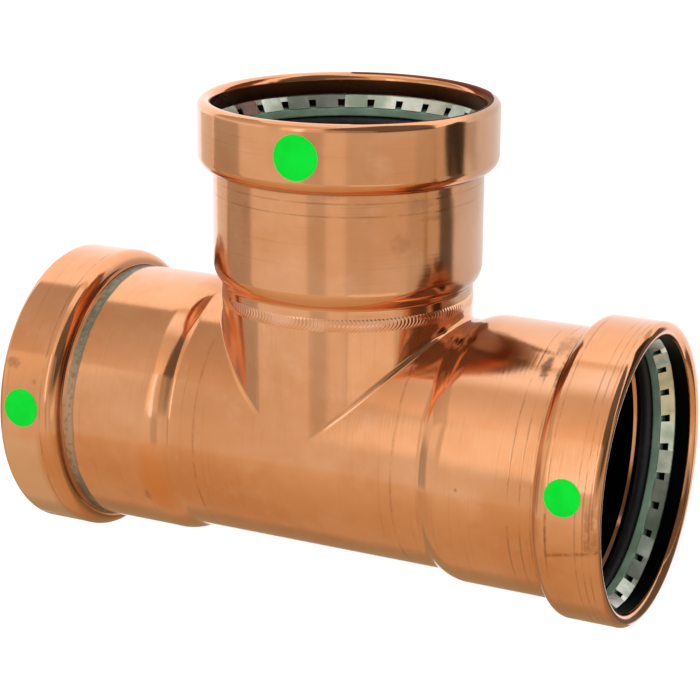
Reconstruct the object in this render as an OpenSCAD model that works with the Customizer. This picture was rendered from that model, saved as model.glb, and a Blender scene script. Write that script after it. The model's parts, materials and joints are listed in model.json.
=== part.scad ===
// Copper press tee for large bore tube, lying on its three beads with the painted dots up.
// The run lies along X, the branch points along +Y, and the origin is under the middle of the part.

/* [Tube and sockets] */
// Outside diameter of the tube that goes into each socket
tube_od = 79.375; // [54:0.005:108]
// Gap between tube and socket, on each side
socket_gap = 0.2625; // [0.15:0.0005:0.4]
// Thickness of the copper wall
wall = 2.05; // [1.5:0.05:2.4]
// Depth of the socket, from its mouth to the step that stops the tube
insertion = 51.2; // [40:0.1:70]

/* [Body] */
// Drop in radius from a run socket to the plain body
run_step = 2.55; // [2:0.05:4]
// Length of that step along the run
run_step_len = 9.2; // [7:0.1:14]
// Plain body left beside the branch, before each step
side_rise = 2.75; // [1:0.05:20]

/* [Branch] */
// How much smaller the branch stub is than the body, in radius
neck_inset = 0.2; // [0.1:0.05:1.5]
// Height of the stub above the top of the body, up to the weld
stub_rise = 2.9; // [1:0.1:20]
// Width of the weld
weld_w = 3.9; // [2:0.1:6]
// Height of the weld's crown
weld_crown = 0.2; // [0.05:0.05:0.6]
// Straight neck between the weld and the step
neck_len = 2.15; // [1:0.05:10]
// Length of the step from neck to branch socket
branch_step_len = 6.5; // [5:0.1:12]
// Share of a step's curve that belongs to the bend at its small end
step_share = 0.22; // [0.1:0.01:0.4]

/* [Press bead] */
// Height of the bead above the socket
bead_rise = 4.6; // [3.8:0.05:6]
// Radius of the bead's back shoulder
shoulder_r = 4.2; // [4:0.1:8]
// Fillet where the shoulder meets the socket
crease_r = 0.8; // [0.6:0.1:2]
// Chamfer where the bead's hollow runs into the socket
groove_chamfer = 0.9; // [0.3:0.1:1.5]
// Length of the rim that is folded back inside the bead
hem_len = 6.75; // [4.5:0.05:10]
// Slit left inside the fold
hem_gap = 0.35; // [0.2:0.05:0.6]
// Least room between the middle of the seal and the start of the shoulder
seal_room = 0.715; // [0.5:0.005:4]

/* [Rings] */
// Gap between one ring and the next
seat_gap = 0.1; // [0.05:0.01:0.3]
// Gap between a ring and the wall of the bead
ring_gap = 0.08; // [0.05:0.01:0.2]
// Length of the grip ring along the socket
grip_len = 4; // [3:0.1:6]
// Thickness of the grip ring's strip
grip_t = 0.8; // [0.5:0.05:1]
// How far the root of the fingers stands back from the rim's inside
grip_setback = 0.25; // [0.1:0.05:0.6]
// How far the root of the fingers lies behind the front of the strip's rim
root_step = 0.2; // [0.1:0.05:0.4]
// How far the strip's flat rim stands back from the root of the fingers
grip_rim_step = 0.3; // [0.2:0.05:0.5]
// Length of the strip's front that has no slots
collar_len = 1.4; // [0.8:0.1:2.5]
// How far the collar stands behind the face of the fingers
collar_inset = 0.2; // [0.16:0.02:0.3]
// Gap between the fingers' tips and the tube
tip_gap = 0.3125; // [0.2:0.0005:0.8]
// Number of fingers
finger_count = 27; // [18:1:40]
// Width of the slot between two fingers
slot_w = 2.1; // [1:0.1:3]
// Length of the separator ring along the socket
separator_len = 2.85; // [2:0.05:5]
// Gap between the separator ring and the tube
separator_gap = 0.6125; // [0.3:0.0005:1.2]
// Rounding of the separator's inner edges
separator_round = 0.6; // [0.2:0.05:0.9]
// Gap between the seal and the tube
seal_gap = 0.2125; // [0.1:0.0005:0.5]

/* [Painted dots] */
// Diameter of the dot on the right bead
right_dot_d = 11.1; // [6:0.1:15]
// Diameter of the dot on the left bead
left_dot_d = 12.4; // [6:0.1:15]
// Diameter of the dot on the branch bead
branch_dot_d = 13.7; // [6:0.1:15]
// Distance from the right mouth to the middle of its dot
right_dot_depth = 11.3; // [8:0.1:14]
// Distance from the left mouth to the middle of its dot
left_dot_depth = 9; // [8:0.1:14]
// Distance from the branch mouth to the middle of its dot
branch_dot_depth = 10; // [8:0.1:14]
// Thickness of the paint
dot_t = 0.1; // [0.05:0.01:0.2]
// Turn of the right dot from the top towards the branch
right_dot_turn = 8; // [-90:0.1:90]
// Turn of the left dot from the top towards the branch
left_dot_turn = 6; // [-90:0.1:90]
// Turn of the branch dot from the top towards the right
branch_dot_turn = 7; // [-90:0.1:90]

/* [Hidden] */
$fn = 128;
past = 1;
tube_r = tube_od / 2;
bore_r = tube_r + socket_gap;
socket_r = bore_r + wall;
body_r = socket_r - run_step;
neck_r = body_r - neck_inset;
bead_r = socket_r + bead_rise;
cavity_r = bead_r - wall;
nose_r = wall + hem_gap / 2;
lip_r = bead_r - 2 * nose_r;
ring_out_r = cavity_r - ring_gap;

// Depths from the mouth
grip_depth = hem_len + seat_gap;
separator_depth = grip_depth + grip_len + seat_gap;
seal_in_r = tube_r + seal_gap;
seal_r = (ring_out_r - seal_in_r) / 2;
seal_depth = separator_depth + separator_len + seat_gap + seal_r;
bead_len = seal_depth + max(seal_room, seal_r + seat_gap + wall - shoulder_r);
groove_depth = bead_len + shoulder_r - wall;

// Lengths from the crossing of the axes
run_half = neck_r + side_rise + run_step_len + insertion;
weld_start = body_r + stub_rise;
weld_end = weld_start + weld_w;
branch_len = weld_end + neck_len + branch_step_len + insertion;

// Turns of the grip rings in their beads
right_finger_turn = 6.2;
left_finger_turn = 0;
branch_finger_turn = 93.1;

// Puts the crossing of the axes over the origin, with the beads on the ground
module lying() {
    translate([0, -(branch_len - bead_r) / 2, bead_r]) children();
}

// Turns a shape that is made along Z on to an arm
module on_right() {
    rotate([0, 90, 0]) children();
}

module on_left() {
    rotate([0, -90, 0]) children();
}

module on_branch() {
    rotate([-90, 0, 0]) children();
}

// A band in a section, from the axis out to radius r, between two heights
module band(r, low, high) {
    translate([0, low]) square([r, high - low]);
}

module disc(r, x, y) {
    translate([x, y]) circle(r);
}

// Section of the S shaped step from a socket down to a neck of radius small. Its two bends meet on a slope.
// depth moves both bends inwards by a wall for the inside of the copper.
module step_section(small, top, len, depth) {
    drop = socket_r - small;
    bends = (len * len + drop * drop) / (2 * drop);
    neck_bend = step_share * bends;
    socket_bend = bends - neck_bend;
    slope = asin(len / bends);
    low = top - len;
    meet_y = top - (socket_bend - depth) * sin(slope);
    meet_r = socket_r - socket_bend + (socket_bend - depth) * cos(slope);
    disc(socket_bend - depth, socket_r - socket_bend, top);
    difference() {
        band(meet_r, low, meet_y);
        disc(neck_bend + depth, small + neck_bend, low);
    }
}

// Section of the outside of an arm, filled in to the axis
module arm_outside(small, len, step_len, start) {
    nose = len - nose_r;
    shoulder = len - bead_len;
    shoulder_x = bead_r - shoulder_r;
    crease_reach = socket_r + crease_r - shoulder_x;
    crease_y = shoulder - sqrt(pow(shoulder_r + crease_r, 2) - pow(crease_reach, 2));
    meet = shoulder_r / (shoulder_r + crease_r);
    meet_r = shoulder_x + meet * crease_reach;
    meet_y = shoulder + meet * (crease_y - shoulder);
    band(small, start, nose);
    step_section(small, len - insertion, step_len, 0);
    band(socket_r, len - insertion, nose);
    difference() {
        polygon([
            [0, crease_y], [socket_r + crease_r, crease_y], [meet_r, meet_y],
            [shoulder_x, shoulder], [0, shoulder]
        ]);
        disc(crease_r, socket_r + crease_r, crease_y);
    }
    disc(shoulder_r, shoulder_x, shoulder);
    band(bead_r, shoulder, nose);
    band(bead_r - nose_r, shoulder, len);
    disc(nose_r, bead_r - nose_r, nose);
}

// Section of the inside of an arm: waterway, step, socket, hollow of the bead, slit of the hem and throat
module arm_inside(small, len, step_len, start) {
    nose = len - nose_r;
    shoulder = len - bead_len;
    shoulder_x = bead_r - shoulder_r;
    groove = len - groove_depth;
    hem_end = len - hem_len;
    band(small - wall, start, len + past);
    step_section(small, len - insertion, step_len, wall);
    band(bore_r, len - insertion, len + past);
    polygon([
        [0, groove - groove_chamfer], [bore_r, groove - groove_chamfer],
        [bore_r + 2 * groove_chamfer, groove + groove_chamfer], [0, groove + groove_chamfer]
    ]);
    disc(shoulder_r - wall, shoulder_x, shoulder);
    band(shoulder_x, groove, hem_end);
    band(cavity_r, shoulder, hem_end);
    translate([cavity_r - hem_gap, hem_end - past]) square([hem_gap, hem_len - wall + past]);
    band(lip_r, shoulder, len + past);
    difference() {
        band(bead_r - nose_r, nose, len + past);
        disc(nose_r, bead_r - nose_r, nose);
    }
}

// Painted dot on a bead, on the side that faces local +X after the turn
module bead_dot(turn, len, depth, d) {
    rotate([0, 0, turn])
    intersection() {
        difference() {
            translate([0, 0, len - bead_len]) cylinder(r = bead_r + dot_t, h = bead_len);
            translate([0, 0, len - bead_len - past]) cylinder(r = bead_r, h = bead_len + 2 * past);
        }
        translate([0, 0, len - depth]) rotate([0, 90, 0]) cylinder(d = d, h = 2 * bead_r);
    }
}

// Strip of stainless steel: a flat rim behind the hem, a collar, and fingers that slope in towards the tube
module grip_ring(turn, len) {
    front = len - grip_depth;
    root = front - root_step;
    back = front - grip_len;
    root_r = lip_r + grip_setback;
    tip_r = tube_r + tip_gap;
    slope = (root_r - tip_r) / (root - back);
    slant_t = grip_t * sqrt(1 + slope * slope);
    finger_w = 2 * tip_r * tan(180 / finger_count) - slot_w;
    collar_front = front - root_step / 2;
    collar_back = root - collar_len;
    collar_end_r = root_r - slope * collar_len;
    color([0.72, 0.74, 0.7])
    rotate([0, 0, turn]) {
        rotate_extrude() {
            translate([root_r + grip_rim_step, front - grip_t])
                square([ring_out_r - root_r - grip_rim_step, grip_t]);
            polygon([
                [root_r + collar_inset, collar_front], [collar_end_r + collar_inset, collar_back],
                [collar_end_r + slant_t - collar_inset, collar_back],
                [root_r + slant_t - collar_inset, collar_front]
            ]);
        }
        for (i = [0 : finger_count - 1])
            rotate([0, 0, (i + 0.5) * 360 / finger_count])
            rotate([90, 0, 0])
            linear_extrude(finger_w, center = true)
                polygon([[root_r, root], [tip_r, back], [tip_r + slant_t, back], [root_r + slant_t, root]]);
    }
}

// Plain plastic ring with rounded inner edges
module separator_ring(len) {
    in_r = tube_r + separator_gap;
    top = len - separator_depth;
    low = top - separator_len;
    color([0.36, 0.47, 0.38])
    rotate_extrude() {
        translate([in_r, low + separator_round])
            square([separator_round, separator_len - 2 * separator_round]);
        translate([in_r + separator_round, low])
            square([ring_out_r - in_r - separator_round, separator_len]);
        disc(separator_round, in_r + separator_round, low + separator_round);
        disc(separator_round, in_r + separator_round, top - separator_round);
    }
}

// Rubber O ring
module seal_ring(len) {
    color([0.05, 0.05, 0.05])
    rotate_extrude() disc(seal_r, seal_in_r + seal_r, len - seal_depth);
}

// The formed run with both of its sockets and the stub for the branch
module run_body() {
    color([0.78, 0.48, 0.33])
    lying()
    difference() {
        union() {
            on_right()
            rotate_extrude() {
                arm_outside(body_r, run_half, run_step_len, -past);
                mirror([0, 1]) arm_outside(body_r, run_half, run_step_len, -past);
            }
            on_branch() cylinder(r = neck_r, h = weld_start);
        }
        on_right()
        rotate_extrude() {
            arm_inside(body_r, run_half, run_step_len, -past);
            mirror([0, 1]) arm_inside(body_r, run_half, run_step_len, -past);
        }
        on_branch() cylinder(r = neck_r - wall, h = weld_start + past);
    }
}

module branch_socket() {
    color([0.8, 0.5, 0.35])
    lying()
    on_branch()
    rotate_extrude()
    difference() {
        arm_outside(neck_r, branch_len, branch_step_len, weld_end);
        arm_inside(neck_r, branch_len, branch_step_len, weld_end - past);
    }
}

// Weld ring, as thick as the walls that it joins and crowned a little on the outside
module branch_weld() {
    crown_r = (pow(weld_w / 2, 2) + pow(weld_crown, 2)) / (2 * weld_crown);
    color([0.7, 0.42, 0.3])
    lying()
    on_branch()
    rotate_extrude() {
        translate([neck_r - wall, weld_start]) square([wall, weld_w]);
        intersection() {
            disc(crown_r, neck_r + weld_crown - crown_r, (weld_start + weld_end) / 2);
            translate([neck_r - wall, weld_start]) square([wall + weld_crown, weld_w]);
        }
    }
}

module left_seal() { lying() on_left() seal_ring(run_half); }
module right_seal() { lying() on_right() seal_ring(run_half); }
module branch_seal() { lying() on_branch() seal_ring(branch_len); }

module left_separator() { lying() on_left() separator_ring(run_half); }
module right_separator() { lying() on_right() separator_ring(run_half); }
module branch_separator() { lying() on_branch() separator_ring(branch_len); }

module left_grip_ring() { lying() on_left() grip_ring(left_finger_turn, run_half); }
module right_grip_ring() { lying() on_right() grip_ring(right_finger_turn, run_half); }
module branch_grip_ring() { lying() on_branch() grip_ring(branch_finger_turn, branch_len); }

module left_green_dot() {
    color([0.06, 0.9, 0.22])
    lying() on_left()
        bead_dot(left_dot_turn, run_half, left_dot_depth, left_dot_d);
}

module right_green_dot() {
    color([0.06, 0.9, 0.22])
    lying() on_right()
        bead_dot(180 - right_dot_turn, run_half, right_dot_depth, right_dot_d);
}

module branch_green_dot() {
    color([0.06, 0.9, 0.22])
    lying() on_branch()
        bead_dot(branch_dot_turn - 90, branch_len, branch_dot_depth, branch_dot_d);
}

run_body();
branch_socket();
branch_weld();
left_seal();
right_seal();
branch_seal();
left_separator();
right_separator();
branch_separator();
left_grip_ring();
right_grip_ring();
branch_grip_ring();
left_green_dot();
right_green_dot();
branch_green_dot();
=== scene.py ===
"""Looks of the copper press tee: copper, a rippled weld, rings in its beads, painted dots and a studio."""

import json
import math

import bmesh
import bpy
from mathutils import Matrix, Vector


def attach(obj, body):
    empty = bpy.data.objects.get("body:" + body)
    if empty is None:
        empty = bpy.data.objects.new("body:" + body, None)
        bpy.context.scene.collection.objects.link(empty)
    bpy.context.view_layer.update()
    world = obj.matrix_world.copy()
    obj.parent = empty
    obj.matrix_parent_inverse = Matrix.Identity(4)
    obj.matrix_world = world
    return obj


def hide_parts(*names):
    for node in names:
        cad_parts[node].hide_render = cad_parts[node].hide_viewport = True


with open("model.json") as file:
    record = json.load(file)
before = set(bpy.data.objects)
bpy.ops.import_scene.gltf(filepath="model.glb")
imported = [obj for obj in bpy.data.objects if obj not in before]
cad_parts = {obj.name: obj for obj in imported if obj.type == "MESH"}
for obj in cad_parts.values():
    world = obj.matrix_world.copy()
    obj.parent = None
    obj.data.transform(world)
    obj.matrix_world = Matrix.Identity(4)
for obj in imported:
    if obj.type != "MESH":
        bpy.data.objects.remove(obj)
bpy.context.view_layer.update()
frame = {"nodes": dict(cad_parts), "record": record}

# Sizes of the copper, in metres
MM = 0.001
mounts = {mount["name"]: mount for mount in frame["record"]["mounts"]}
bore_r = mounts["right_socket"]["dims"]["r_mm"] * MM
wall = 2.05 * MM
insertion = 51.2 * MM
run_step = 2.55 * MM
run_step_len = 9.2 * MM
side_rise = 2.75 * MM
neck_inset = 0.2 * MM
stub_rise = 2.9 * MM
weld_w = 3.9 * MM
weld_crown = 0.2 * MM
neck_len = 2.15 * MM
branch_step_len = 6.5 * MM
step_share = 0.22
bead_rise = 4.6 * MM
bead_len = 16.9 * MM
shoulder_r = 4.2 * MM
crease_r = 0.8 * MM
groove_chamfer = 0.9 * MM
hem_len = 6.75 * MM
hem_gap = 0.35 * MM
crotch_fillet = 1.3 * MM
socket_r = bore_r + wall
body_r = socket_r - run_step
neck_r = body_r - neck_inset
bead_r = socket_r + bead_rise
cavity_r = bead_r - wall
nose_r = wall + hem_gap / 2
lip_r = bead_r - 2 * nose_r
run_half = neck_r + side_rise + run_step_len + insertion
weld_start = body_r + stub_rise
weld_end = weld_start + weld_w
branch_len = weld_end + neck_len + branch_step_len + insertion

# Sizes of the rings
tube_r = bore_r - 0.2625 * MM
ring_out_r = cavity_r - 0.08 * MM
separator_in_r = tube_r + 0.6125 * MM
separator_depth = 10.95 * MM
separator_len = 2.85 * MM
separator_round = 0.6 * MM
seal_depth = 16.185 * MM
seal_in_r = tube_r + 0.2125 * MM

# Place of the axes. They cross over the middle of the run.
CROSS = Vector((0, mounts["right_socket"]["pos_m"][1], mounts["right_socket"]["pos_m"][2]))
RIGHT = Vector((1, 0, 0))
LEFT = Vector((-1, 0, 0))
BRANCH = Vector((0, 1, 0))
UP = Vector((0, 0, 1))
AROUND = 256
HOLD = 0.35 * MM
JUST = 0.02 * MM
PAST = 1 * MM
WELDED = 0.001 * MM


# Drawing of sections, as points of distance along the arm and radius

def arc(along, radius, size, start, end, count):
    """Points on an arc about (along, radius), from angle start to angle end in degrees."""
    points = []
    for i in range(count + 1):
        angle = math.radians(start + (end - start) * i / count)
        points.append((along + size * math.cos(angle), radius + size * math.sin(angle)))
    return points


def straight(a, b):
    """Two points just inside the ends of a straight stretch, which hold its shading flat."""
    length = math.dist(a, b)
    share = HOLD / length
    near = (a[0] + (b[0] - a[0]) * share, a[1] + (b[1] - a[1]) * share)
    far = (b[0] + (a[0] - b[0]) * share, b[1] + (a[1] - b[1]) * share)
    return [near, far]


def joined(*stretches):
    """Runs stretches together, with straight lines between them."""
    points = list(stretches[0])
    for stretch in stretches[1:]:
        if math.dist(points[-1], stretch[0]) > 4 * HOLD:
            points += straight(points[-1], stretch[0])
        elif math.dist(points[-1], stretch[0]) < WELDED:
            stretch = stretch[1:]
        points += stretch
    return points


def step_bends(small, step_len):
    """Radii of the two bends of a step, and the slope on which they meet."""
    drop = socket_r - small
    bends = (step_len ** 2 + drop ** 2) / (2 * drop)
    slope = math.degrees(math.asin(step_len / bends))
    return (1 - step_share) * bends, step_share * bends, slope


def outside_of_arm(small, length, step_len):
    """Outside of an arm, from the inside of its lip to the small end of its step."""
    shoulder = length - bead_len
    shoulder_x = bead_r - shoulder_r
    reach = socket_r + crease_r - shoulder_x
    crease = shoulder - math.sqrt((shoulder_r + crease_r) ** 2 - reach ** 2)
    turn = math.degrees(math.atan2(reach, crease - shoulder))
    socket_bend, neck_bend, slope = step_bends(small, step_len)
    top = length - insertion
    low = top - step_len
    return joined(
        arc(length - nose_r, bead_r - nose_r, nose_r, -90, 90, 18),
        arc(shoulder, shoulder_x, shoulder_r, 90, turn, 14),
        arc(crease, socket_r + crease_r, crease_r, turn - 180, -90, 8),
        arc(top, socket_r - socket_bend, socket_bend, 90, 90 + slope, 14),
        arc(low, small + neck_bend, neck_bend, slope - 90, -90, 8),
    )


def inside_of_arm(small, length, step_len):
    """Inside of an arm, from the inside of its lip to the small end of its step."""
    shoulder = length - bead_len
    shoulder_x = bead_r - shoulder_r
    groove = shoulder - shoulder_r + wall
    socket_bend, neck_bend, slope = step_bends(small, step_len)
    top = length - insertion
    low = top - step_len
    return joined(
        [(length - nose_r, lip_r), (length - hem_len, lip_r)],
        [(length - hem_len, cavity_r - hem_gap), (length - wall, cavity_r - hem_gap)],
        [(length - wall, cavity_r)],
        arc(shoulder, shoulder_x, shoulder_r - wall, 90, 180, 10),
        [(groove, bore_r + groove_chamfer), (groove - groove_chamfer, bore_r)],
        arc(top, socket_r - socket_bend, socket_bend - wall, 90, 90 + slope, 8),
        arc(low, small + neck_bend, neck_bend + wall, slope - 90, -90, 6),
    )


# Modelling helpers

def only(piece):
    """Selects one piece alone and makes it active."""
    bpy.ops.object.select_all(action="DESELECT")
    piece.select_set(True)
    bpy.context.view_layer.objects.active = piece


def turned(name, section, arm, around=AROUND):
    """A piece turned on the axis of an arm from a closed section."""
    side = UP if abs(arm.z) < 0.5 else RIGHT
    bpy.ops.object.select_all(action="DESELECT")
    bpy.ops.mesh.primitive_circle_add(vertices=len(section), radius=bead_r, fill_type="NOTHING")
    piece = bpy.context.object
    piece.name = name
    for vertex, (along, radius) in zip(piece.data.vertices, section):
        vertex.co = CROSS + arm * along + side * radius
    bpy.ops.object.mode_set(mode="EDIT")
    bpy.ops.mesh.select_all(action="SELECT")
    bpy.ops.mesh.spin(steps=around, angle=2 * math.pi, center=CROSS, axis=arm, use_auto_merge=True)
    bpy.ops.mesh.select_all(action="SELECT")
    bpy.ops.mesh.remove_doubles(threshold=WELDED)
    bpy.ops.mesh.dissolve_degenerate(threshold=WELDED)
    bpy.ops.mesh.select_all(action="SELECT")
    bpy.ops.mesh.delete_loose()
    bpy.ops.mesh.select_all(action="SELECT")
    bpy.ops.mesh.normals_make_consistent(inside=False)
    bpy.ops.object.mode_set(mode="OBJECT")
    return piece


def crossing_stub(name, reach, run_r, stub_r):
    """A solid stub whose edges meet the edges of the run that it leaves, so that their crossing is even."""
    turns = [0, math.pi]
    for i in range(1, AROUND // 2):
        share = run_r / stub_r * math.cos(2 * math.pi * i / AROUND)
        if abs(share) < 1:
            turns += [math.acos(share), -math.acos(share)]
    turns.sort()
    bpy.ops.object.select_all(action="DESELECT")
    bpy.ops.mesh.primitive_circle_add(vertices=len(turns), radius=stub_r, fill_type="NGON")
    piece = bpy.context.object
    piece.name = name
    for vertex, turn in zip(piece.data.vertices, turns):
        vertex.co = CROSS + (RIGHT * math.sin(turn) + UP * math.cos(turn)) * stub_r
    bpy.ops.object.mode_set(mode="EDIT")
    bpy.ops.mesh.select_all(action="SELECT")
    bpy.ops.mesh.extrude_region_move(TRANSFORM_OT_translate={"value": BRANCH * reach})
    bpy.ops.mesh.select_all(action="SELECT")
    bpy.ops.mesh.normals_make_consistent(inside=False)
    bpy.ops.object.mode_set(mode="OBJECT")
    return piece


def cut_or_join(piece, tool, operation):
    """Applies a boolean of a tool to a piece, and removes the tool."""
    only(piece)
    modifier = piece.modifiers.new("shape", "BOOLEAN")
    modifier.operation = operation
    modifier.solver = "EXACT"
    modifier.object = tool
    bpy.ops.object.modifier_apply(modifier=modifier.name)
    bpy.data.objects.remove(tool)


def smooth(piece, angle):
    """Shades a piece smooth over edges up to an angle in degrees."""
    only(piece)
    bpy.ops.object.shade_smooth_by_angle(angle=math.radians(angle))


def finish_piece(piece, slot, *nodes):
    """Puts a piece on the body in place of its CAD nodes."""
    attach(piece, "root")
    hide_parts(*nodes)


def radius_from(point, arm):
    """Distance of a point from the axis of an arm, and the direction away from that axis."""
    away = point - CROSS
    away -= arm * away.dot(arm)
    return away.length, away.normalized()


# Materials

class Value:
    """A number, colour or vector that changes over a surface. Operators on numbers add Math nodes."""

    def __init__(self, finish, socket):
        self.finish = finish
        self.socket = socket

    def math(self, operation, *others):
        """A Math node on this value and others."""
        inputs = dict(enumerate([self, *others]))
        return self.finish.node("ShaderNodeMath", {"operation": operation}, inputs)

    def reflected(self, operation, other):
        """A Math node whose first input is the other value."""
        return self.finish.node("ShaderNodeMath", {"operation": operation}, {0: other, 1: self})

    def __add__(self, other):
        return self.math("ADD", other)

    def __radd__(self, other):
        return self.reflected("ADD", other)

    def __sub__(self, other):
        return self.math("SUBTRACT", other)

    def __rsub__(self, other):
        return self.reflected("SUBTRACT", other)

    def __mul__(self, other):
        return self.math("MULTIPLY", other)

    def __rmul__(self, other):
        return self.reflected("MULTIPLY", other)

    def __truediv__(self, other):
        return self.math("DIVIDE", other)

    def __rtruediv__(self, other):
        return self.reflected("DIVIDE", other)

    def __abs__(self):
        return self.math("ABSOLUTE")

    def most(self, other):
        return self.math("MAXIMUM", other)

    def part(self, name):
        """Another output of the same node."""
        return Value(self.finish, self.socket.node.outputs[name])

    def rises(self, low, high):
        """Goes smoothly from 0 at low to 1 at high."""
        inputs = {"Value": self, "From Min": low, "From Max": high}
        return self.finish.node("ShaderNodeMapRange", {"interpolation_type": "SMOOTHSTEP"}, inputs)

    def near(self, middle, reach):
        """1 at middle, falling smoothly to 0 at reach on both sides."""
        return 1 - abs(self - middle).rises(0, reach)

    def between(self, low, high, edge):
        """1 between low and high, with soft edges."""
        return self.rises(low - edge, low + edge) * (1 - self.rises(high - edge, high + edge))


class Nodes:
    """The nodes of a material or of the world."""

    def __init__(self, tree):
        self.tree = tree

    def node(self, kind, settings=None, inputs=None):
        """A node of some kind, with its settings and the values or links of its sockets."""
        made = self.tree.nodes.new(kind)
        for name, value in (settings or {}).items():
            setattr(made, name, value)
        for name, value in (inputs or {}).items():
            if isinstance(value, Value):
                self.tree.links.new(value.socket, made.inputs[name])
            else:
                made.inputs[name].default_value = value
        return Value(self, made.outputs[0])


class Finish(Nodes):
    """A material, with the methods that add its nodes."""

    def __init__(self, name):
        self.material = bpy.data.materials.new(name)
        self.material.use_nodes = True
        super().__init__(self.material.node_tree)
        self.shader = self.tree.nodes["Principled BSDF"]
        self.place = self.node("ShaderNodeTexCoord").part("Object")
        self.x = self.node("ShaderNodeSeparateXYZ", None, {0: self.place})
        self.y = self.x.part("Y")
        self.z = self.x.part("Z")

    def mix(self, factor, a, b):
        """Colour a where factor is 0 and colour b where it is 1."""
        settings = {"data_type": "RGBA", "clamp_factor": True}
        mixed = self.node("ShaderNodeMix", settings, {"Factor": factor})
        for name, colour in (("A", a), ("B", b)):
            socket = next(s for s in mixed.socket.node.inputs if s.name == name and s.type == "RGBA")
            if isinstance(colour, Value):
                self.tree.links.new(colour.socket, socket)
            else:
                socket.default_value = (*colour, 1)
        return Value(self, next(s for s in mixed.socket.node.outputs if s.type == "RGBA"))

    def noise(self, scale, detail=3.0, stretch=(1, 1, 1), roughness=0.5, shift=(0, 0, 0)):
        """Noise with so many cells to the metre, stretched along the axes."""
        moved = self.node("ShaderNodeMapping", None,
                          {"Vector": self.place, "Scale": stretch, "Location": shift})
        return self.node("ShaderNodeTexNoise", None,
                         {"Vector": moved, "Scale": scale, "Detail": detail, "Roughness": roughness})

    def bump(self, height, distance, strength=1.0, normal=None):
        """A bump whose height runs over so many metres."""
        inputs = {"Height": height, "Distance": distance, "Strength": strength}
        if normal:
            inputs["Normal"] = normal
        return self.node("ShaderNodeBump", None, inputs)

    def set(self, **sockets):
        """Sets or links sockets of the shader, with _ for a space in their names."""
        for name, value in sockets.items():
            socket = self.shader.inputs[name.replace("_", " ")]
            if isinstance(value, Value):
                self.tree.links.new(value.socket, socket)
            elif isinstance(value, tuple):
                socket.default_value = (*value, 1)
            else:
                socket.default_value = value
        return self.material


# Colours of the copper, its marks and the other pieces
TAN = (0.88, 0.410, 0.205)
ORANGE = (0.80, 0.335, 0.140)
PINK = (0.93, 0.475, 0.285)
BROWN = (0.26, 0.095, 0.035)
DARK_BROWN = (0.085, 0.032, 0.018)
BLUE_BLACK = (0.020, 0.030, 0.034)
WARM_ORANGE = (0.84, 0.29, 0.075)
PALE_COPPER = (0.96, 0.59, 0.39)
GREY_BROWN = (0.22, 0.165, 0.115)
TARNISH = (0.13, 0.16, 0.10)
PALE_TARNISH = (0.40, 0.27, 0.165)
LOW_TARNISH = (0.085, 0.070, 0.035)
STICKER_BROWN = (0.42, 0.14, 0.035)
# Colours of the painted shade inside the copper, with BLUE_BLACK and DARK_BROWN
SHADE_BLACK = (0.010, 0.012, 0.014)
DEEP_BROWN = (0.03, 0.014, 0.012)
# Colours of the steel, plastic, rubber and paint
STEEL_SHADE = (0.42, 0.50, 0.39)
STEEL_BRIGHT = (0.86, 0.88, 0.80)
GREY_GREEN = (0.18, 0.275, 0.19)
PALE_GREY_GREEN = (0.25, 0.36, 0.26)
RUBBER_BLACK = (0.010, 0.010, 0.012)
RUBBER_BLOOM = (0.026, 0.027, 0.030)
PAINT_GREEN = (0.003, 0.78, 0.034)
PAINT_BRIGHT = (0.005, 0.86, 0.044)

# Where noise starts to show and shows in full
SOFTLY = (0.38, 0.62)
CLOUDED = (0.35, 0.65)
DARKENED = (0.4, 0.65)
PINKISH = (0.50, 0.75)
RUBBED = (0.55, 0.85)
SCRATCHED = (0.62, 0.8)
STAINED = (0.4, 0.6)
BLOOMED = (0.5, 0.8)
PAINTED = (0.3, 0.7)

# Noise in the copper, in cells to the metre
PATCHES = 22
SMUDGES = 95
RUBBING = 28
SCRATCHES = 30
MOTTLE = 420
GRAIN = 2600

# How much of each shows in the copper's colour
PINK_SHARE = 0.45
RUBBED_SHARE = 0.25
STAIN_SHARE = 0.45
DARK_REFLECTION_SHARE = 0.8
STICKER_SHARE = 0.75
WARM_SHARE = 0.75
PAINTED_SHADE_SHARE = 0.7
LINE_SHARE = 0.45
RUN_CREASE_SHADE_SHARE = 0.8
BRANCH_CREASE_SHADE_SHARE = 0.5
COPPER_ROUGHNESS = 0.085
COPPER_COAT = 0.35
COAT_ROUGHNESS = 0.08

# Fine lines that the forming dies left, by distance from the mouth, with their half widths
RIGHT_LINES = (2.8 * MM, 4.8 * MM, 7.1 * MM, 22.5 * MM, 25.9 * MM, 29.7 * MM)
BRANCH_LINES = (24.1 * MM, 28.0 * MM)
LINE_HALF = 0.45 * MM
SHOULDER_LINE = 16.1 * MM
SHOULDER_HALF = 0.5 * MM
# A brown line of painted shade along the crease behind each bead: distance from the mouth and half width
CREASE_SHADE = 21.3 * MM
CREASE_SHADE_HALF = 1.0 * MM

# A line on each side of the run, by distance from its middle
DIE_LINE = 34.0 * MM
DIE_HALF = 0.7 * MM

# Small stains, dark painted reflections by the crease of the right arm (second line) and an orange patch on
# the left step (fourth line): distance from the mouth and half length in mm, turn up from the front and half
# turn in degrees
RIGHT_SPOTS = ((24.5, 3.0, 75, 9), (20.5, 2.0, 69, 7), (46.0, 0.7, 2, 1))
RIGHT_PAINTED_REFLECTIONS = ((26.6, 2.1, 60, 8), (21.3, 1.8, 57, 11))
LEFT_SPOTS = ((4.2, 3.2, 23.5, 3), (13.3, 1.0, 17.3, 1.6), (50.0, 1.5, -30, 4))
LEFT_WARM = ((54.0, 7.0, -20, 26),)
BRANCH_SPOTS = (
    (25.5, 2.4, 56, 9), (30.0, 1.2, 66, 10), (36.5, 4.5, 48, 5), (22.3, 1.0, 20, 6), (29.5, 4.0, -20, 3),
)
RAGGED = 2.4

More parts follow.
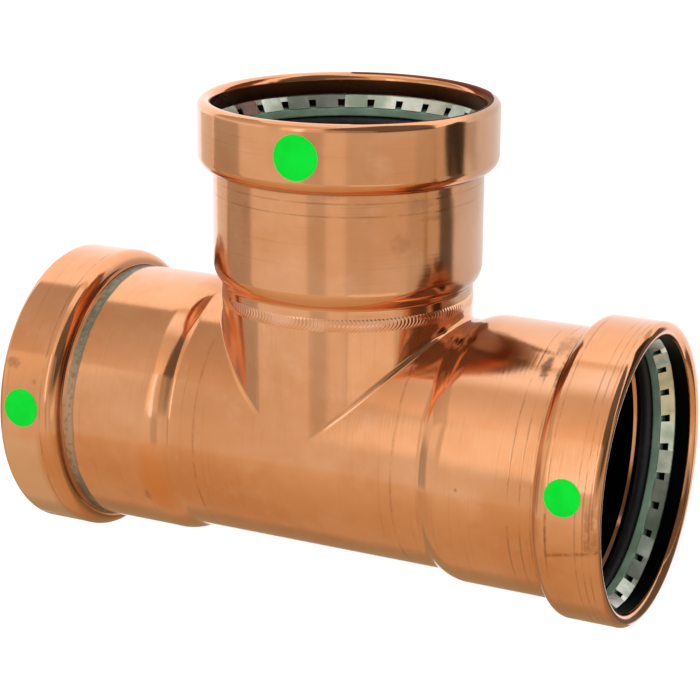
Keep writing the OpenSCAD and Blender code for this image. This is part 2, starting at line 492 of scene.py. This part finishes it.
# A painted pale reflection on the lower half of the left bead, by distance from the mouth and by height over
# the axis in body radii
PAINTED_PALE_DEPTH = (13 * MM, 17 * MM)
PAINTED_PALE_RISE = (-0.22, -0.02)

# The tarnish behind the left bead: its depth, how that shifts and wanders, its half width and dark edge in mm
TARNISH_DEPTH = 24.1 * MM
TARNISH_SHIFT = 0.4 * MM
TARNISH_WANDER = 1.6 * MM
TARNISH_HALF = (1.4, 2.1)
TARNISH_EDGE = (0.6, 1.5)
TARNISH_TOP = (0.14, 0.74)
TARNISH_FOOT = (-0.67, -0.14)

# Painted shade on the right side of the branch, grey brown, rougher and without coat, by turn from the front
PAINTED_SHADE_TURNS = (math.radians(74), math.radians(125))
PAINTED_SHADE_EDGE = math.radians(6)

# What an old sticker left on the right bead: an edge along its side, a sloping edge below and a brown end
STICKER_SIDE = 16.1 * MM
STICKER_SIDE_HALF = 0.8 * MM
STICKER_SIDE_TURNS = (math.radians(-15), math.radians(1.5))
STICKER_FOOT = math.radians(10.6)
STICKER_FOOT_HALF = math.radians(1.3)
STICKER_SLOPE = math.radians(4.6) / (16.2 * MM)
STICKER_LENGTH = (0.3 * MM, 16.4 * MM)
STICKER_END = (0.6 * MM, 4.4 * MM)
STICKER_END_TURNS = (math.radians(-11.5), math.radians(6))


def spots(depth, turn, places, ragged):
    """Stains with soft, ragged edges."""
    stained = None
    for middle, half_length, angle, half_turn in places:
        along = (depth - middle * MM) / (half_length * MM)
        around = (turn - math.radians(angle)) / math.radians(half_turn)
        spot = 1 - (along * along + around * around + RAGGED * (ragged - 0.5)).rises(-0.1, 1)
        stained = spot if stained is None else stained.most(spot)
    return stained


def residue(depth, turn):
    """Brown edges and a brown end that an old sticker left on the bead."""
    side = depth.near(STICKER_SIDE, STICKER_SIDE_HALF) * turn.between(*STICKER_SIDE_TURNS, 0.02)
    lower = turn + STICKER_FOOT + depth * STICKER_SLOPE
    bottom = lower.near(0, STICKER_FOOT_HALF) * depth.between(*STICKER_LENGTH, 0.3 * MM)
    end = depth.between(*STICKER_END, 0.7 * MM) * turn.between(*STICKER_END_TURNS, 0.05)
    return side.most(bottom).most(end * 0.75)


def copper(name, along):
    """Polished copper with soft colour changes, lines round the arm, smudges, stains and tarnish, and painted
    shade and painted reflections in places.
    """
    finish = Finish(name)
    on_run = along is RIGHT
    stretch_round = (40, 1, 1) if on_run else (1, 40, 1)
    stretch_along = (1, 12, 12) if on_run else (12, 1, 12)
    patches = finish.noise(PATCHES, 4, roughness=0.6)
    smudges = finish.noise(SMUDGES, 5, roughness=0.65, shift=(0.3, 0.1, 0.7))
    rubbed = finish.noise(RUBBING, 6, stretch_round, roughness=0.62)
    scratched = finish.noise(SCRATCHES, 5, stretch_along, roughness=0.7, shift=(0.2, 0.5, 0.1))
    mottle = finish.noise(MOTTLE, 4, roughness=0.7)
    grain = finish.noise(GRAIN, 2)
    colour = finish.mix(patches.rises(*SOFTLY), TAN, ORANGE)
    colour = finish.mix(smudges.rises(*PINKISH) * PINK_SHARE, colour, PINK)
    colour = finish.mix(rubbed.rises(*RUBBED) * RUBBED_SHARE, colour, BROWN)
    roughness = COPPER_ROUGHNESS + 0.05 * smudges + 0.03 * rubbed + 0.08 * scratched.rises(*SCRATCHED)
    front = finish.z - CROSS.z
    metallic = 1.0
    coat = COPPER_COAT
    if on_run:
        depth = run_half - abs(finish.x)
        turn = (finish.y - CROSS.y).math("ARCTAN2", front)
        rise = (finish.y - CROSS.y) / body_r
        on_right = finish.x.rises(0, 10 * MM)
        lines = depth.near(SHOULDER_LINE, SHOULDER_HALF).most(abs(finish.x).near(DIE_LINE, DIE_HALF))
        for place in RIGHT_LINES:
            lines = lines.most(depth.near(place, LINE_HALF) * on_right)
        stains = spots(depth, turn, RIGHT_SPOTS, mottle) * on_right
        stains = stains.most(spots(depth, turn, LEFT_SPOTS, mottle) * (1 - on_right))
        # Dark painted reflections by the crease of the right arm
        dark_painted_reflection = spots(depth, turn, RIGHT_PAINTED_REFLECTIONS, mottle) * on_right
        colour = finish.mix(dark_painted_reflection * DARK_REFLECTION_SHARE, colour, DARK_BROWN)
        browned = residue(depth, turn) * on_right * (0.35 + 0.65 * mottle.rises(0.35, 0.6))
        colour = finish.mix(browned * STICKER_SHARE, colour, STICKER_BROWN)
        warmed = spots(depth, turn, LEFT_WARM, patches) * (1 - on_right)
        colour = finish.mix(warmed * WARM_SHARE, colour, WARM_ORANGE)
        # Painted pale reflection on the lower half of the left bead
        painted_pale_reflection = (1 - depth.rises(*PAINTED_PALE_DEPTH)) * (1 - rise.rises(*PAINTED_PALE_RISE)) * (1 - on_right)
        colour = finish.mix(painted_pale_reflection * (0.6 + 0.4 * smudges), colour, PALE_COPPER)
        upper = rise.rises(*TARNISH_TOP)
        lower = 1 - rise.rises(*TARNISH_FOOT)
        aside = depth - (TARNISH_DEPTH + upper * TARNISH_SHIFT) + (smudges - 0.5) * TARNISH_WANDER
        band = 1 - (abs(aside) / MM).rises(*TARNISH_HALF)
        dark_edge = (aside / MM).rises(*TARNISH_EDGE)
        shade = finish.mix(lower, finish.mix(upper, PALE_TARNISH, TARNISH), LOW_TARNISH)
        shade = finish.mix((1 - mottle.rises(0.36, 0.50)) * 0.5, shade, PALE_TARNISH)
        shade = finish.mix((mottle.rises(0.48, 0.62) * 0.75).most(dark_edge * 0.6), shade, LOW_TARNISH)
        tarnish = band * (1 - on_right) * (0.70 + 0.25 * upper.most(lower))
        colour = finish.mix(tarnish, colour, shade)
        metallic = 1 - 0.75 * tarnish
        roughness = roughness + 0.3 * tarnish
        crease_shade_share = RUN_CREASE_SHADE_SHARE
    else:
        depth = (branch_len + CROSS.y) - finish.y
        turn = finish.x.math("ARCTAN2", front)
        lines = depth.near(BRANCH_LINES[0], LINE_HALF).most(depth.near(BRANCH_LINES[1], LINE_HALF))
        stains = spots(depth, turn, BRANCH_SPOTS, mottle) * 0.5
        # Painted shade on the right side of the branch
        painted_side_shade = turn.between(*PAINTED_SHADE_TURNS, PAINTED_SHADE_EDGE) * (0.6 + 0.4 * patches)
        colour = finish.mix(painted_side_shade * PAINTED_SHADE_SHARE, colour, GREY_BROWN)
        roughness = roughness + 0.12 * painted_side_shade
        coat = COPPER_COAT * (1 - painted_side_shade)
        crease_shade_share = BRANCH_CREASE_SHADE_SHARE
    stain = finish.mix(smudges.rises(*STAINED), BROWN, GREY_BROWN)
    colour = finish.mix(stains * STAIN_SHARE, colour, stain)
    roughness = roughness + 0.12 * stains
    # Painted shade: a brown line along the crease behind each bead
    colour = finish.mix(depth.near(CREASE_SHADE, CREASE_SHADE_HALF) * crease_shade_share, colour, BROWN)
    broken = lines * smudges.rises(*SOFTLY)
    colour = finish.mix(broken * LINE_SHARE, colour, BROWN)
    height = 0.5 * patches + 0.12 * rubbed - 0.10 * broken
    normal = finish.bump(height, 0.4 * MM, 0.35)
    normal = finish.bump(grain, 0.01 * MM, 0.25, normal)
    finish.set(Base_Color=colour, Metallic=metallic, Roughness=roughness, Normal=normal)
    return finish.set(Coat_Weight=coat, Coat_Roughness=COAT_ROUGHNESS)


# How far the painted shade inside the copper is browner by the mouths
MOUTH_REACH = 9 * MM
MOUTH_FADE = 8 * MM


def inside_painted_shade(name):
    """Copper with painted shade inside the mouths and the waterway: blue black in the run, dark brown in the
    branch.
    """
    finish = Finish(name)
    clouds = finish.noise(60, 5, roughness=0.65)
    out = (abs(finish.x) - (run_half - MOUTH_REACH)).most(finish.y - (CROSS.y + branch_len - MOUTH_REACH))
    near_mouth = out.rises(0, MOUTH_FADE)
    in_branch = (finish.y - (CROSS.y + weld_end)).rises(0, weld_w)
    # Painted shade: blue black in the run, dark brown in the branch
    black_shade = finish.mix(clouds.rises(*DARKENED), BLUE_BLACK, SHADE_BLACK)
    browned = finish.mix(clouds.rises(*DARKENED), DARK_BROWN, DEEP_BROWN)
    colour = finish.mix(in_branch, black_shade, finish.mix(near_mouth * 0.5, browned, BROWN))
    roughness = 0.22 + 0.15 * clouds
    normal = finish.bump(clouds, 0.3 * MM, 0.3)
    return finish.set(Base_Color=colour, Metallic=1.0, Roughness=roughness, Normal=normal)


def weld_copper(name):
    """Copper of the weld, a little redder and shinier than the rest."""
    finish = Finish(name)
    clouds = finish.noise(140, 4)
    grain = finish.noise(1800, 3)
    colour = finish.mix(clouds.rises(*CLOUDED), TAN, PINK)
    roughness = 0.07 + 0.05 * grain
    normal = finish.bump(grain, 0.01 * MM, 0.3)
    finish.set(Base_Color=colour, Metallic=1.0, Roughness=roughness, Normal=normal)
    return finish.set(Coat_Weight=0.6, Coat_Roughness=0.05)


def grip_steel(name):
    """Stamped stainless steel, bright on its pads."""
    finish = Finish(name)
    clouds = finish.noise(75, 4)
    rolled = finish.noise(90, 5, (1, 14, 14), roughness=0.7)
    colour = finish.mix(clouds.rises(*CLOUDED), STEEL_SHADE, STEEL_BRIGHT)
    roughness = 0.16 + 0.14 * rolled
    normal = finish.bump(rolled, 0.04 * MM, 0.35)
    return finish.set(Base_Color=colour, Metallic=1.0, Roughness=roughness, Normal=normal)


def separator_plastic(name):
    """Grey green moulded plastic with a fine matte grain."""
    finish = Finish(name)
    clouds = finish.noise(120, 3)
    grain = finish.noise(3200, 3)
    colour = finish.mix(clouds.rises(*CLOUDED), GREY_GREEN, PALE_GREY_GREEN)
    roughness = 0.48 + 0.16 * grain
    normal = finish.bump(grain, 0.03 * MM, 0.4)
    return finish.set(Base_Color=colour, Roughness=roughness, Normal=normal)


def seal_rubber(name):
    """Black moulded rubber, with a faint bloom."""
    finish = Finish(name)
    bloom = finish.noise(210, 5, roughness=0.7)
    grain = finish.noise(4200, 2)
    colour = finish.mix(bloom.rises(*BLOOMED), RUBBER_BLACK, RUBBER_BLOOM)
    roughness = 0.42 + 0.2 * bloom
    normal = finish.bump(grain, 0.02 * MM, 0.4)
    return finish.set(Base_Color=colour, Roughness=roughness, Normal=normal)


def green_paint(name):
    """Bright green paint, brushed on thin and flat."""
    finish = Finish(name)
    clouds = finish.noise(160, 4)
    brushed = finish.noise(700, 4, (1, 3, 1))
    colour = finish.mix(clouds.rises(*PAINTED), PAINT_GREEN, PAINT_BRIGHT)
    roughness = 0.5 + 0.15 * brushed
    normal = finish.bump(brushed, 0.02 * MM, 0.3)
    return finish.set(Base_Color=colour, Roughness=roughness, Specular_IOR_Level=0.03, Normal=normal)


run_copper = copper("run_copper", RIGHT)
branch_copper = copper("branch_copper", BRANCH)
painted_shade_copper = inside_painted_shade("painted_shade_copper")
steel = grip_steel("grip_steel")
plastic = separator_plastic("separator_plastic")
rubber = seal_rubber("seal_rubber")
paint = green_paint("green_paint")
weld_finish = weld_copper("weld_copper")


# Angles up to which the edges of a finish are shaded smooth, and how squarely an inside face looks in
COPPER_SMOOTH = 32
WELD_SMOOTH = 50
PLASTIC_SMOOTH = 40
RUBBER_SMOOTH = 60
LOOKS_IN = -0.75


def paint_inside_shade(piece, arms):
    """Gives faces that look in towards the axis of an arm, behind its rounded lip, the copper with painted
    shade.
    """
    piece.data.materials.append(painted_shade_copper)
    for face in piece.data.polygons:
        inwards = []
        for arm in arms:
            distance, away = radius_from(face.center, arm)
            length = branch_len if arm is BRANCH else run_half
            behind_lip = abs((face.center - CROSS).dot(arm)) < length - nose_r
            if distance < bead_r + PAST and behind_lip:
                inwards.append(face.normal.dot(away))
        face.material_index = 1 if inwards and min(inwards) < LOOKS_IN else 0


# The run, with the stub for the branch. Its fillet starts and is full at these shares of the stub's radius.
FILLET_START = 0.08
FILLET_FULL = 0.40
FILLET_STEPS = 6


def mirrored(section):
    """The same stretch on the other arm of the run, in the order that goes on round the section."""
    return [(-along, radius) for along, radius in reversed(section)]


def make_run():
    """The run, turned in one with its two sockets, joined to the stub and then bored through."""
    low = run_half - insertion - run_step_len
    half = joined(
        list(reversed(inside_of_arm(body_r, run_half, run_step_len))),
        outside_of_arm(body_r, run_half, run_step_len),
    )
    half[0] = (low, body_r - wall + JUST)
    half.append((low - HOLD, body_r))
    piece = turned("run_body_copper", [(low, 0), *half, *mirrored(half), (-low, 0)], RIGHT)
    stub = crossing_stub("stub", weld_start, body_r, neck_r)
    cut_or_join(piece, stub, "UNION")
    reach = low + PAST
    hole_r = body_r - wall
    waterway = turned("waterway", [(-reach, 0), (reach, 0), (reach, hole_r), (-reach, hole_r)], RIGHT)
    branch_hole = crossing_stub("branch_hole", weld_start + PAST, hole_r, neck_r - wall)
    cut_or_join(waterway, branch_hole, "UNION")
    cut_or_join(piece, waterway, "DIFFERENCE")
    round_crotch(piece)
    piece.data.materials.clear()
    piece.data.materials.append(run_copper)
    paint_inside_shade(piece, (RIGHT, BRANCH))
    smooth(piece, COPPER_SMOOTH)
    normals = piece.modifiers.new("normals", "WEIGHTED_NORMAL")
    normals.keep_sharp = True
    bpy.ops.object.modifier_apply(modifier=normals.name)
    finish_piece(piece, "copper", "run_body")


def round_crotch(piece):
    """Fillets the line where the stub leaves the run. The fillet runs out at the front and back."""
    only(piece)
    bpy.ops.object.mode_set(mode="EDIT")
    bpy.ops.mesh.select_all(action="SELECT")
    bpy.ops.mesh.remove_doubles(threshold=5 * WELDED)
    bpy.ops.mesh.dissolve_degenerate(threshold=WELDED)
    mesh = bmesh.from_edit_mesh(piece.data)
    weight = mesh.edges.layers.float.new("bevel_weight_edge")
    for edge in mesh.edges:
        on_both = edge.verts[0].co.y > CROSS.y
        for vertex in edge.verts:
            run_distance = radius_from(vertex.co, RIGHT)[0]
            stub_distance = radius_from(vertex.co, BRANCH)[0]
            on_both &= abs(run_distance - body_r) < 2 * JUST and abs(stub_distance - neck_r) < 2 * JUST
        if on_both:
            aside = abs(edge.verts[0].co.x + edge.verts[1].co.x) / 2 / neck_r
            share = min(max((aside - FILLET_START) / (FILLET_FULL - FILLET_START), 0), 1)
            edge[weight] = share ** 2 * (3 - 2 * share)
            edge.smooth = share > 0
    bmesh.update_edit_mesh(piece.data)
    bpy.ops.object.mode_set(mode="OBJECT")
    fillet = piece.modifiers.new("fillet", "BEVEL")
    fillet.limit_method = "WEIGHT"
    fillet.width = crotch_fillet
    fillet.segments = FILLET_STEPS
    fillet.use_clamp_overlap = False
    bpy.ops.object.modifier_apply(modifier=fillet.name)


def make_branch():
    """The branch socket, turned from one closed section."""
    section = outside_of_arm(neck_r, branch_len, branch_step_len)
    inside = inside_of_arm(neck_r, branch_len, branch_step_len)
    ends = [(weld_end, neck_r), (weld_end, neck_r - wall)]
    section = joined(section, ends, list(reversed(inside))[:-1])
    piece = turned("branch_socket_copper", section, BRANCH)
    piece.data.materials.append(branch_copper)
    paint_inside_shade(piece, (BRANCH,))
    smooth(piece, COPPER_SMOOTH)
    finish_piece(piece, "copper", "branch_socket")


# The weld, made of one ripple that is copied round

RIPPLES = 197
RIPPLE_HEIGHT = 0.11 * MM
RIPPLE_BOW = 0.9
RIPPLE_LEAN = 0.45
RIPPLE_PEAK = 0.6
RIPPLE_SINK = 0.5
RIPPLE_COLUMNS = 6
RIPPLE_ROWS = 12
CROWN_SHARE = 0.6


def make_weld():
    """The weld, spun from one ripple and then given the wall's thickness."""
    bpy.ops.object.select_all(action="DESELECT")
    bpy.ops.mesh.primitive_grid_add(x_subdivisions=RIPPLE_COLUMNS, y_subdivisions=RIPPLE_ROWS, size=2)
    piece = bpy.context.object
    piece.name = "branch_weld_ripples"
    pitch = 2 * math.pi / RIPPLES
    for vertex in piece.data.vertices:
        share = (vertex.co.x + 1) / 2
        across = vertex.co.y
        swell = 1 - across ** 2
        ridge = math.sin(math.pi * share ** RIPPLE_PEAK) * RIPPLE_HEIGHT * swell ** 0.5
        radius = neck_r + weld_crown * swell * CROWN_SHARE + ridge - RIPPLE_HEIGHT * RIPPLE_SINK * swell
        angle = (share + RIPPLE_BOW * swell + RIPPLE_LEAN * across) * pitch
        along = weld_start + (across + 1) / 2 * weld_w
        around = RIGHT * math.sin(angle) + UP * math.cos(angle)
        vertex.co = CROSS + BRANCH * along + around * radius
    bpy.ops.object.mode_set(mode="EDIT")
    bpy.ops.mesh.select_all(action="SELECT")
    bpy.ops.mesh.spin(steps=RIPPLES - 1, dupli=True, angle=2 * math.pi - pitch, center=CROSS, axis=BRANCH)
    bpy.ops.mesh.select_all(action="SELECT")
    bpy.ops.mesh.remove_doubles(threshold=WELDED)
    bpy.ops.mesh.normals_make_consistent(inside=False)
    bpy.ops.object.mode_set(mode="OBJECT")
    solid = piece.modifiers.new("wall", "SOLIDIFY")
    solid.thickness = wall
    solid.offset = -1
    bpy.ops.object.modifier_apply(modifier=solid.name)
    piece.data.materials.append(weld_finish)
    smooth(piece, WELD_SMOOTH)
    finish_piece(piece, "weld", "branch_weld")


# The rings in each bead

SEAL_AROUND = 192
SEAL_STEPS = 23
SEAL_LAST = 345


def make_rings(side, arm, length):
    """The separator and the seal of one bead, and the finish of its grip ring and its dot."""
    front = length - separator_depth
    back = front - separator_len
    corner = separator_in_r + separator_round
    section = joined(
        [(back, ring_out_r), (front, ring_out_r)],
        arc(front - separator_round, corner, separator_round, 0, -90, 8),
        arc(back + separator_round, corner, separator_round, -90, -180, 8),
    )
    separator = turned(f"{side}_separator_ring", section, arm)
    separator.data.materials.append(plastic)
    smooth(separator, PLASTIC_SMOOTH)
    finish_piece(separator, "separator_plastic", f"{side}_separator")
    seal_r = (ring_out_r - seal_in_r) / 2
    section = arc(length - seal_depth, seal_in_r + seal_r, seal_r, 0, SEAL_LAST, SEAL_STEPS)
    seal = turned(f"{side}_seal_ring", section, arm, SEAL_AROUND)
    seal.data.materials.append(rubber)
    smooth(seal, RUBBER_SMOOTH)
    finish_piece(seal, "seal_rubber", f"{side}_seal")
    for node, material in (("grip_ring", steel), ("green_dot", paint)):
        carried = frame["nodes"][f"{side}_{node}"]
        carried.data.materials.clear()
        carried.data.materials.append(material)


make_run()
make_branch()
make_weld()
make_rings("right", RIGHT, run_half)
make_rings("left", LEFT, run_half)
make_rings("branch", BRANCH, branch_len)


# Camera. Its angles are about the crossing of the axes, with the branch upright.

view_turn = math.radians(26.371)
view_rise = math.radians(17.018)
view_roll = math.radians(0.376)
view_distance = 0.69098
aim_right = 0.000846
aim_up = 0.023877
view_lens = 110.94
sensor_width = 36
nearest = 0.01
furthest = 20

back = Vector((math.sin(view_turn) * math.cos(view_rise), math.sin(view_rise),
               math.cos(view_turn) * math.cos(view_rise)))
right = Vector((math.cos(view_turn), 0, -math.sin(view_turn)))
up = back.cross(right)
eye = CROSS + right * aim_right + up * aim_up + back * view_distance
bpy.ops.object.camera_add(location=eye)
camera = bpy.context.object
rolled_right = right * math.cos(view_roll) + up * math.sin(view_roll)
rolled_up = up * math.cos(view_roll) - right * math.sin(view_roll)
camera.matrix_world = Matrix((
    (rolled_right.x, rolled_up.x, back.x, eye.x),
    (rolled_right.y, rolled_up.y, back.y, eye.y),
    (rolled_right.z, rolled_up.z, back.z, eye.z),
    (0, 0, 0, 1),
))
camera.data.lens = view_lens
camera.data.sensor_width = sensor_width
camera.data.clip_start = nearest
camera.data.clip_end = furthest
bpy.context.scene.camera = camera


# Studio. Metal that is seen in metal shows less of the floor's glow.

FLOOR_SIZE = 8
FLOOR_SHADE = 0.42
FLOOR_PALE = 0.44
FLOOR_GLOW = 0.84
FLOOR_ROUGHNESS = 0.9
SECOND_LOSS = 0.85
SECOND_DEPTH = (1.2, 1.8)
BLACK = (0, 0, 0)


def even(level):
    """An even grey."""
    return (level, level, level)


def grey(level):
    """A grey that is slightly warm, as the cards are."""
    return (level, level * 0.985, level * 0.90)


def warm(level):
    """A warm grey, as at the back of the set."""
    return (level, level * 0.92, level * 0.80)


def looks_at_backdrop(nodes):
    """1 for rays that come from the camera, or by way of metal or glass."""
    rays = nodes.node("ShaderNodeLightPath")
    return rays.most(rays.part("Is Glossy Ray")).most(rays.part("Is Transmission Ray"))


def stage_plane(name, size, place, facing, upright, material):
    """A card whose face looks along facing and whose height runs along upright."""
    bpy.ops.object.select_all(action="DESELECT")
    bpy.ops.mesh.primitive_plane_add(size=1)
    plane = bpy.context.object
    plane.name = name
    turn = Matrix((upright.cross(facing), upright, facing)).transposed().to_4x4()
    plane.matrix_world = Matrix.Translation(place) @ turn @ Matrix.Diagonal((size[0], size[1], 1, 1))
    plane.data.materials.append(material)
    return plane


def floor_white(name):
    """Pale floor that stays white to the eye and in the metal, and keeps a soft shadow."""
    finish = Finish(name)
    clouds = finish.noise(3, 2)
    colour = finish.mix(clouds, even(FLOOR_SHADE), even(FLOOR_PALE))
    second = finish.node("ShaderNodeLightPath").part("Glossy Depth").rises(*SECOND_DEPTH)
    seen = looks_at_backdrop(finish) * (1 - SECOND_LOSS * second)
    glow = finish.mix(seen, BLACK, even(FLOOR_GLOW))
    finish.set(Base_Color=colour, Roughness=FLOOR_ROUGHNESS, Specular_IOR_Level=0.0)
    return finish.set(Emission_Color=glow, Emission_Strength=1.0)


def card(name, size, place, facing, upright, *stops):
    """A card that shows only in the metal. Its stops are places up it, from -0.5 to 0.5, and colours."""
    finish = Finish(name)
    (start, colour), *others = stops
    for end, next_colour in others:
        colour = finish.mix(finish.y.rises(start, end), colour, next_colour)
        start = end
    finish.set(Base_Color=BLACK, Specular_IOR_Level=0.0, Emission_Color=colour, Emission_Strength=1.0)
    plane = stage_plane(name, size, place, facing, upright, finish.material)
    plane.visible_camera = False
    plane.visible_diffuse = False
    plane.visible_shadow = False
    plane.visible_volume_scatter = False


stage_plane("floor", (FLOOR_SIZE, FLOOR_SIZE), Vector((0, 0, 0)), UP, BRANCH, floor_white("floor_white"))


def round_from_camera(angle):
    """The level direction at so many degrees round from the camera."""
    turn = view_turn + math.radians(angle)
    return Vector((math.sin(turn), 0, math.cos(turn)))


# Cards that stand round the set: angle from the camera, width in degrees, and brightness below and above
STANDING = (
    (-104, 32, 0.48, 0.85), (-75.5, 25, 0.78, 0.95), (-57, 13, 0.78, 0.74),
    (-42.5, 16.5, 0.80, 1.10), (-26, 16, 0.60, 0.8), (-10, 16, 0.80, 0.5),
    (9, 22, 0.64, 0.35), (35, 30, 0.68, 0.12), (60, 20, 0.58, 0.1),
)
STANDING_DISTANCE = 1.1
STANDING_LOW = -0.49
STANDING_HIGH = 0.95
STANDING_TABLE = -0.43
STANDING_DIM = -0.20
STANDING_BRIGHT = -0.03
WARM_TABLE = (0.76, 0.68, 0.53)
for angle, width, bright_low, bright_high in STANDING:
    out = round_from_camera(angle)
    span = 2 * STANDING_DISTANCE * math.tan(math.radians(width / 2))
    middle = CROSS + out * STANDING_DISTANCE + BRANCH * (STANDING_LOW + STANDING_HIGH) / 2
    card(f"standing_{angle}", (span, STANDING_HIGH - STANDING_LOW), middle, -out, BRANCH,
         (-0.5, WARM_TABLE), (STANDING_TABLE, grey(bright_low)),
         (STANDING_DIM, grey(bright_low)), (STANDING_BRIGHT, grey(bright_high)))

# A narrow card for the highlights on the bends
SHINE_ANGLE = -36.5
SHINE_DISTANCE = 1.05
SHINE_RISE = 0.46
SHINE_SIZE = (0.135, 0.90)
SHINE = (1.45, 1.70, 2.10)
shine_side = round_from_camera(SHINE_ANGLE)
shine_place = CROSS + shine_side * SHINE_DISTANCE + BRANCH * SHINE_RISE
card("shine", SHINE_SIZE, shine_place, -shine_side, BRANCH, (0, SHINE))

# Cards that lie just over the floor: left, right, lower and upper edge in metres, height, and stops
CARD_LIFT = 1 * MM
LOW_LIFT = 0.5 * MM
MOUTH_RED = (0.17, 0.07, 0.055)
NEAR_TABLE = (0.39, 0.295, 0.165)
FAR_TABLE = (0.59, 0.45, 0.28)
LYING = {
    "far_card": (0.20, 1.60, -0.60, 0.14, LOW_LIFT, (0, grey(0.62))),
    "line_flag": (0.116, 0.215, -0.20, 0.028, CARD_LIFT, (0, grey(0.14))),
    "near_bead_flag": (0.132, 0.215, 0.028, 0.14, CARD_LIFT, (0, grey(0.04))),
    "far_bead_flag": (0.215, 0.34, 0.006, 0.14, CARD_LIFT, (0, grey(0.04))),
    "edge_flag": (0.095, 0.132, 0.044, 0.070, CARD_LIFT, (0, grey(0.75))),
    "left_flag": (-0.70, -0.16, -0.15, 0.05, CARD_LIFT, (0, grey(0.78))),
    "mouth_flag": (-0.022, 0.029, 0.060, 0.130, CARD_LIFT, (-0.5, grey(0.62)), (-0.12, MOUTH_RED)),
    "table": (-1.3, 1.3, -1.2, -0.115, CARD_LIFT, (0.1, FAR_TABLE), (0.5, NEAR_TABLE)),
}
for name, (left_edge, right_edge, low, high, lift, *stops) in LYING.items():
    middle = Vector(((left_edge + right_edge) / 2, (low + high) / 2, lift))
    card(name, (right_edge - left_edge, high - low), middle, UP, BRANCH, *stops)

# A card close to the stub
STUB_CARD = (0.20, 0.056)
STUB_PLACE = Vector((0.20, -0.082, 0.236))
STUB_BRIGHT = 0.92
stub_side = Vector((0.74, 0, 0.67)).normalized()
card("stub_card", STUB_CARD, STUB_PLACE, -stub_side, BRANCH, (0, grey(STUB_BRIGHT)))

# Cards that stand behind the branch: left and right edge in metres, and stops
BACK_Y = 0.33
BACK_HEIGHT = 0.55
HORIZON = (1.15, 1.22, 1.30)
BEHIND = {
    "back_card_left": (-0.90, -0.19, (-0.5, warm(0.52)), (0.5, warm(0.74))),
    "back_card_right": (-0.19, 0.05, (-0.46, warm(0.9)), (-0.40, HORIZON), (-0.29, HORIZON),
                        (-0.12, warm(0.74)), (0.5, warm(1.05))),
    "back_flag": (0.05, 0.80, (0, grey(0.16))),
}
for name, (left_edge, right_edge, *stops) in BEHIND.items():
    middle = Vector(((left_edge + right_edge) / 2, BACK_Y, BACK_HEIGHT / 2))
    card(name, (right_edge - left_edge, BACK_HEIGHT), middle, -BRANCH, UP, *stops)

# A card in front of the run
TABLE_EDGE = (2.4, 1.5)
TABLE_EDGE_PLACE = CROSS + Vector((0, -0.52, 0.71))
card("table_edge", TABLE_EDGE, TABLE_EDGE_PLACE, BRANCH, UP, (-0.5, FAR_TABLE), (0.4, WARM_TABLE))


# Lamps: angle from the camera, rise in degrees, distance, size and power
LAMPS = {
    "key": (5, 34, 1.0, (0.5, 0.3), 2.5),
    "fill": (-60, 40, 1.6, (1.2, 1.2), 4),
    "other_fill": (70, 30, 1.6, (1.2, 1.2), 3),
}
for name, (angle, rise, distance, size, power) in LAMPS.items():
    level = math.cos(math.radians(rise)) * distance
    height = math.sin(math.radians(rise)) * distance
    place = CROSS + round_from_camera(angle) * level + BRANCH * height
    bpy.ops.object.light_add(type="AREA", location=place)
    lamp = bpy.context.object
    lamp.name = name
    lamp.data.shape = "RECTANGLE"
    lamp.data.size = size[0]
    lamp.data.size_y = size[1]
    lamp.data.energy = power
    lamp.rotation_mode = "QUATERNION"
    lamp.rotation_quaternion = (place - CROSS).to_track_quat("Z", "Y")
    lamp.visible_glossy = False

# The world, white where it is seen and dimmer where it lights the object
WORLD_LIGHT = 0.6
WORLD_SEEN = 1.0
WHITE = (1, 1, 1, 1)
world = bpy.data.worlds.new("studio")
bpy.context.scene.world = world
world.use_nodes = True
sky = Nodes(world.node_tree)
limits = {"Value": looks_at_backdrop(sky), "To Min": WORLD_LIGHT, "To Max": WORLD_SEEN}
strength = sky.node("ShaderNodeMapRange", None, limits)
background = world.node_tree.nodes["Background"]
background.inputs["Color"].default_value = WHITE
world.node_tree.links.new(strength.socket, background.inputs["Strength"])

bpy.context.scene.view_settings.view_transform = "Standard"
